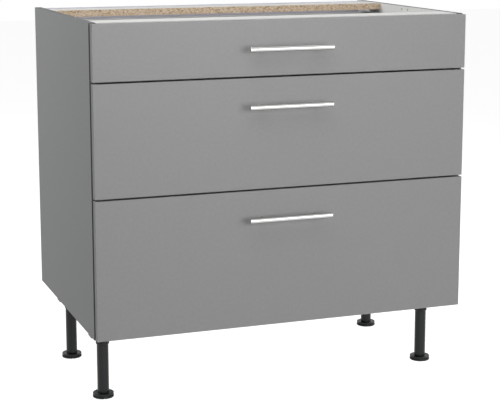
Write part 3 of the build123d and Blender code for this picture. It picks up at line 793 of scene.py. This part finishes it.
def cam_housings():
    """Drums with a cross, all turned to where a tightened cam stops."""
    boxes = solids_of("cam_housings")
    first_low, first_high = boxes[0]
    radius = (first_high.x - first_low.x) / 2 / MM
    height = (first_high.z - first_low.z) / MM
    outline = [(0, 0.8), (5.4, 0.8), (5.9, 0), (radius - 0.4, 0), (radius, 0.4),
               (radius, height - 0.4), (radius - 0.4, height), (0, height)]
    drum = turned("cam", outline, steps=36)
    arms = [block("cross", (-x, -y, -MM), (x, y, CROSS_DEPTH))
            for x, y in ((CROSS_ARM, CROSS_THICK), (CROSS_THICK, CROSS_ARM))]
    clear()
    cut(drum, *arms)
    turn = Matrix.Rotation(math.radians(LOCKED_TURN), 4, "Z")
    places = [Matrix.Translation(((low.x + high.x) / 2, (low.y + high.y) / 2, low.z)) @ turn
              for low, high in boxes]
    piece = copies(drum, places, "cam_drums_with_cross")
    finish_piece(piece, "carcass", "die_cast_zinc", "cam_housings")


cam_housings()

# %% [markdown]
# The bumper pads are clear stick-on drops of soft plastic. A drop sags into a low dome with
# a steep rim, which is quickly turned too.

# %% Bumper pads


def bumper_pads():
    """Domes from a sine's quarter turn; a power below one makes the rim steep."""
    boxes = solids_of("bumper_pads")
    first_low, first_high = boxes[0]
    radius = (first_high.x - first_low.x) / 2 / MM
    height = (first_high.y - first_low.y) / MM
    outline = [(radius * math.cos(a), height * math.sin(a) ** 0.7)
               for a in (math.radians(10 * k) for k in range(9))]
    drop = turned("pad", [(0, 0), *outline, (0, height)], (0, first_high.y, 0), (0, -1, 0), 24)
    places = [Matrix.Translation(((low.x + high.x) / 2, 0, (low.z + high.z) / 2))
              for low, high in boxes]
    piece = copies(drop, places, "clear_bumper_drops")
    finish_piece(piece, "carcass", "clear_pad", "bumper_pads")


bumper_pads()

# %% [markdown]
# The legs are the part one sees most of after the fronts. Each is a black tube with a wider
# collar under the plate; eight shallow pockets in the collar save plastic and give fingers a
# grip. The tube is turned in one go and the pockets are pressed into the collar's faces by
# an inset. The four legs are alike, so one is modelled and copied.

# %% Leg tubes
LEG_STEPS = 48
TUBE_RADIUS, SPIGOT_RADIUS, SPIGOT_HEIGHT, COLLAR_HEIGHT = 13.5, 10.0, 15.8, 36.0
COLLAR_POCKETS, POCKET_DEPTH, POCKET_EDGE = 8, 0.8, 0.6
POCKET_FACES = 1.4     # faces each side of a pocket's middle


def leg_model():
    """A leg at its own height, standing round the upright through the origin."""
    low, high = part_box("leg_front_left")
    collar = (high.x - low.x) / 2 / MM
    tube, spigot = TUBE_RADIUS, SPIGOT_RADIUS
    top = (high.z - low.z) / MM
    shoulder = top - SPIGOT_HEIGHT
    rim = shoulder - COLLAR_HEIGHT
    outline = [(5.05, 6), (5.05, 0.3), (5.35, 0), (tube - 0.5, 0), (tube, 0.5),
               (tube, rim - 0.4), (tube + 0.4, rim), (collar - 1.5, rim),
               (collar, rim + 1.5), (collar, rim + 4), (collar, shoulder - 4),
               (collar, shoulder - 0.6), (collar - 0.6, shoulder), (spigot, shoulder),
               (spigot, top - 1), (spigot - 1, top), (0, top)]
    piece = turned("leg", outline, (0, 0, low.z), steps=LEG_STEPS)
    only(piece)
    bpy.ops.object.mode_set(mode="EDIT")
    level = low.z + (rim + shoulder) / 2 * MM

    def in_pocket(middle, normal):
        turn = math.degrees(math.atan2(middle.y, middle.x)) % (360 / COLLAR_POCKETS)
        inside = abs(turn - 180 / COLLAR_POCKETS) < 360 / LEG_STEPS * POCKET_FACES
        return inside and abs(middle.z - level) < 1 * MM and math.hypot(
            middle.x, middle.y) > (collar - 0.5) * MM

    count = pick("FACE", in_pocket)
    bpy.ops.mesh.inset(thickness=POCKET_EDGE * MM, depth=-POCKET_DEPTH * MM)
    clear()
    print("collar faces pressed in:", count)
    return piece


def stand_at_corners(model, node_start, name_start):
    """A copy of a model round each corner's upright, in place of its solid."""
    for corner in CORNERS:
        node = node_start + corner
        low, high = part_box(node)
        only(model)
        bpy.ops.object.duplicate(linked=False)
        piece = bpy.context.object
        piece.name = name_start + corner
        at = ((low.x + high.x) / 2, (low.y + high.y) / 2, 0)
        piece.data.transform(Matrix.Translation(at))
        finish_piece(piece, node, "black_plastic", node)
    bpy.data.objects.remove(model, do_unlink=True)


stand_at_corners(leg_model(), "leg_", "leg_tube_")

# %% [markdown]
# A foot is a disc with a groove round it and six grip slots in the lower flange, and a
# threaded shank that screws up into the leg. The disc and the thread are one outline: the
# real thread is a helix with a 5 mm lead, drawn here as rings, which look the same at rest.
# The slots are cut with blocks.

# %% Feet
FOOT_SLOTS, FIRST_SLOT = 6, 261.6
SLOT_WIDTH, SLOT_DEPTH, FLANGE_HEIGHT = 3.4, 2.2, 4.8
THREAD_CORE, THREAD_CREST, THREAD_LEAD, FIRST_RING = 4.2, 5.0, 5.0, 12.0


def foot_model():
    """A foot and its thread, standing on the floor round the upright through the origin."""
    low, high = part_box("foot_front_left")
    radius = (high.x - low.x) / 2 / MM
    shank_top = high.z / MM
    disc = [(0, 0), (radius - 3, 0), (radius - 0.6, 0.1), (radius - 0.1, 0.6), (radius, 1),
            (radius, 3.9), (radius - 0.3, 4.5), (radius - 0.9, FLANGE_HEIGHT),
            (22.4, FLANGE_HEIGHT), (22.4, 7.2), (23.5, 7.2), (24.0, 7.5), (24.2, 8),
            (24.2, 9.7), (23.9, 10.2), (23.2, 10.5), (20.5, 10.5), (19.8, 9.9), (7.2, 9.9),
            (6.4, 10.5), (THREAD_CORE, 10.5)]
    thread, z = [], FIRST_RING
    while z < shank_top - 4:
        thread += [(THREAD_CORE, z), (THREAD_CREST, z + 1.2), (THREAD_CREST, z + 2.0),
                   (THREAD_CORE, z + 3.2)]
        z += THREAD_LEAD
    tip = [(THREAD_CORE, shank_top - 1), (3.4, shank_top), (0, shank_top)]
    piece = turned("foot", disc + thread + tip, steps=72)
    slots = []
    for k in range(FOOT_SLOTS):
        slot = block("slot", (radius * MM - SLOT_DEPTH * MM, -SLOT_WIDTH / 2 * MM, -MM),
                     ((radius + 2) * MM, SLOT_WIDTH / 2 * MM, FLANGE_HEIGHT * MM))
        clear()
        slot.data.transform(Matrix.Rotation(
            math.radians(FIRST_SLOT + 360 / FOOT_SLOTS * k), 4, "Z"))
        slots.append(slot)
    return cut(piece, *slots)


stand_at_corners(foot_model(), "foot_", "foot_disc_")

# %% [markdown]
# The solids of folded and moulded parts have perfectly sharp edges, which no real one has. A
# copy of the solid is merged, its triangles are dissolved back into flat faces, and its
# edges are rounded with a bevel: half a millimetre for moulded plates, less for thin steel.

# %% Rounded copies of folded and moulded parts
MOULDED, ROLLED, FOLDED = 0.5, 0.3, 0.4     # bevel widths in millimetres


def rounded_copy(node, name, width_mm):
    """A piece shaped like a node's solid, with its edges rounded."""
    piece = bpy.data.objects.new(name, nodes[node].data.copy())
    bpy.context.scene.collection.objects.link(piece)
    only(piece)
    bpy.ops.object.mode_set(mode="EDIT")
    bpy.ops.mesh.select_all(action="SELECT")
    bpy.ops.mesh.remove_doubles(threshold=SAME_PLACE)
    bpy.ops.mesh.dissolve_limited(angle_limit=math.radians(1))
    clear()
    return soften(piece, width_mm)


finish_piece(rounded_copy("leg_plates", "moulded_leg_plates", MOULDED), "carcass",
             "grey_plastic", "leg_plates")
for drawer in DRAWERS:
    box, slide = drawer + "_drawer", drawer + "_runner_middle"
    for node, body, name, width in (
            ("_runner_cabinet_members", "carcass", "_folded_runner_rails", ROLLED),
            ("_runner_middle_members", slide, "_folded_middle_rails", ROLLED),
            ("_runner_drawer_members", box, "_folded_drawer_rails", ROLLED),
            ("_drawer_side_left", box, "_folded_side_left", FOLDED),
            ("_drawer_side_right", box, "_folded_side_right", FOLDED),
            ("_drawer_brackets", box, "_bent_brackets", FOLDED)):
        node = drawer + node
        finish_piece(rounded_copy(node, drawer + name, width), body, slot_of[node], node)

# %% [markdown]
# The two deep drawers have a round gallery rod over each side. A rod is drawn tube with a
# slightly narrower neck and a rounded nose where it plugs into the bracket behind the front
# and into the drawer's back.

# %% Gallery rods


def gallery_rods(drawer):
    """Two rods, alike at both ends."""
    node = drawer + "_gallery_rods"
    boxes = solids_of(node)
    low, high = boxes[0]
    radius, length = (high.x - low.x) / 2 / MM, (high.y - low.y) / MM
    half = [(0, 0), (radius - 1.2, 0), (radius - 0.4, 0.5), (radius - 0.4, 5), (radius, 5.4),
            (radius, 11), (radius - 0.3, 11.3), (radius - 0.3, 12.2), (radius, 12.5)]
    outline = half + [(r, length - h) for r, h in reversed(half)]
    model = turned("rod", outline, (0, low.y, (low.z + high.z) / 2), (0, 1, 0), 36)
    places = [Matrix.Translation(((a.x + b.x) / 2, 0, 0)) for a, b in boxes]
    piece = copies(model, places, drawer + "_drawn_gallery_rods")
    finish_piece(piece, drawer + "_drawer", slot_of[node], node)


gallery_rods("middle")
gallery_rods("bottom")

# %% [markdown]
# The studio has a camera, a white surround, soft lamps and a pale floor. The camera stands to
# the left of the cabinet and a little above it, with a long lens. Its place was worked out
# from the cabinet's own edges in the photograph.

# %% Camera
CAMERA_ACROSS, CAMERA_AHEAD, CAMERA_HEIGHT = -1.16167, 2.93618, 1.09396
CAMERA_YAW, CAMERA_PITCH, CAMERA_ROLL = 0.34975, 0.17385, -0.00036
CAMERA_LENS = 101.0633
CAMERA_SHIFT = (0.00732, -0.07419)
forward = Vector((math.sin(CAMERA_YAW) * math.cos(CAMERA_PITCH),
                  math.cos(CAMERA_YAW) * math.cos(CAMERA_PITCH), -math.sin(CAMERA_PITCH)))
level = Vector((math.cos(CAMERA_YAW), -math.sin(CAMERA_YAW), 0))
upright = level.cross(forward)
across = math.cos(CAMERA_ROLL) * level + math.sin(CAMERA_ROLL) * upright
up = -math.sin(CAMERA_ROLL) * level + math.cos(CAMERA_ROLL) * upright
clear()
bpy.ops.object.camera_add(
    location=(CAMERA_ACROSS, CARCASS_FRONT - CAMERA_AHEAD, CAMERA_HEIGHT))
camera = bpy.context.object
camera.name = "studio_camera"
camera.rotation_euler = Matrix((across, up, -forward)).transposed().to_euler()
camera.data.sensor_width = 36
camera.data.lens = CAMERA_LENS
camera.data.shift_x, camera.data.shift_y = CAMERA_SHIFT
camera.data.clip_end = 50
bpy.context.scene.camera = camera
print("camera at", [round(v, 3) for v in camera.location], "lens:", CAMERA_LENS, "mm")

# %% [markdown]
# The surround is white for the camera, for gloss and for clear plastic, so that steel has
# something bright to mirror, but gives hardly any light of its own. The light comes from
# four large soft lamps: a broad one in front, a weak one above the handles, which draws
# their soft shadows, and one on each side.

# %% White surround
AMBIENT = 0.06


def seen_rays(tree):
    """1 for rays from the camera, a gloss or a clear piece, 0 for those that carry light."""
    path = add(tree, "LightPath").outputs
    seen = maths(tree, "MAXIMUM", path["Is Camera Ray"], path["Is Glossy Ray"])
    return maths(tree, "MAXIMUM", seen, path["Is Transmission Ray"])


world = bpy.data.worlds.new("studio")
bpy.context.scene.world = world
world.use_nodes = True
tree = world.node_tree
tree.nodes.clear()
strength = spread(tree, seen_rays(tree), AMBIENT, 1.0, 0, 1)
surround = add(tree, "Background", {"Strength": strength}, Color=(1, 1, 1, 1))
add(tree, "OutputWorld", {"Surface": surround.outputs[0]})
print("surround lights the cabinet at", AMBIENT, "of the strength at which it is seen")

# %% Soft lamps


def softbox(name, at, towards, size, watts):
    """A rectangular lamp, width by height in metres, turned towards a point."""
    clear()
    bpy.ops.object.light_add(type="AREA", location=at)
    lamp = bpy.context.object
    lamp.name = name
    lamp.data.shape = "RECTANGLE"
    lamp.data.size, lamp.data.size_y = size
    lamp.data.energy = watts
    lamp.rotation_euler = (Vector(towards) - Vector(at)).to_track_quat("-Z", "Y").to_euler()
    print(name, size, "m,", watts, "W")


softbox("key_softbox", (0.9, -4.2, 1.15), (0, -0.27, 0.5), (2.9, 2.1), 92)
softbox("top_softbox", (-0.25, -0.85, 1.65), (0, -0.2, 0.6), (0.9, 1.0), 6.3)
softbox("right_softbox", (2.6, 0.3, 1.9), (0.1, 0, 0.85), (1.4, 1.4), 50)
softbox("left_softbox", (-2.4, 1.0, 2.2), (-0.45, 0, 0.5), (1.8, 1.6), 53)

# %% [markdown]
# The floor is a sheet of white paper. The feet screw out by 20 mm while the cabinet stays
# where it is, so the sheet lies just under their lowest place and never hides a foot.

# %% White paper floor
FLOOR_GLOW, FLOOR_SHADE, FLOOR_SIZE = 0.94, 0.4, 24
FEET_REACH, PAPER_GAP = 20 * MM, 0.2 * MM
floor_level = cad_low.z - FEET_REACH - PAPER_GAP
clear()
bpy.ops.mesh.primitive_plane_add(size=FLOOR_SIZE, location=(0, 0, floor_level))
floor = bpy.context.object
floor.name = "studio_floor"
paper = bpy.data.materials.new("white_paper_floor")
paper.use_nodes = True
tree = paper.node_tree
tree.nodes.clear()
glow = add(tree, "Emission", {"Strength": maths(tree, "MULTIPLY", seen_rays(tree), FLOOR_GLOW)},
           Color=(1, 1, 1, 1))
matt = add(tree, "BsdfDiffuse", Color=(FLOOR_SHADE, FLOOR_SHADE, FLOOR_SHADE, 1))
both = add(tree, "AddShader", {0: matt.outputs[0], 1: glow.outputs[0]})
add(tree, "OutputMaterial", {"Surface": both.outputs[0]})
floor.data.materials.append(paper)
print("floor at", round(floor_level / MM, 1), "mm")

# %% [markdown]
# Last, the colours are shown with the plain standard view transform.

bpy.context.scene.view_settings.view_transform = "Standard"
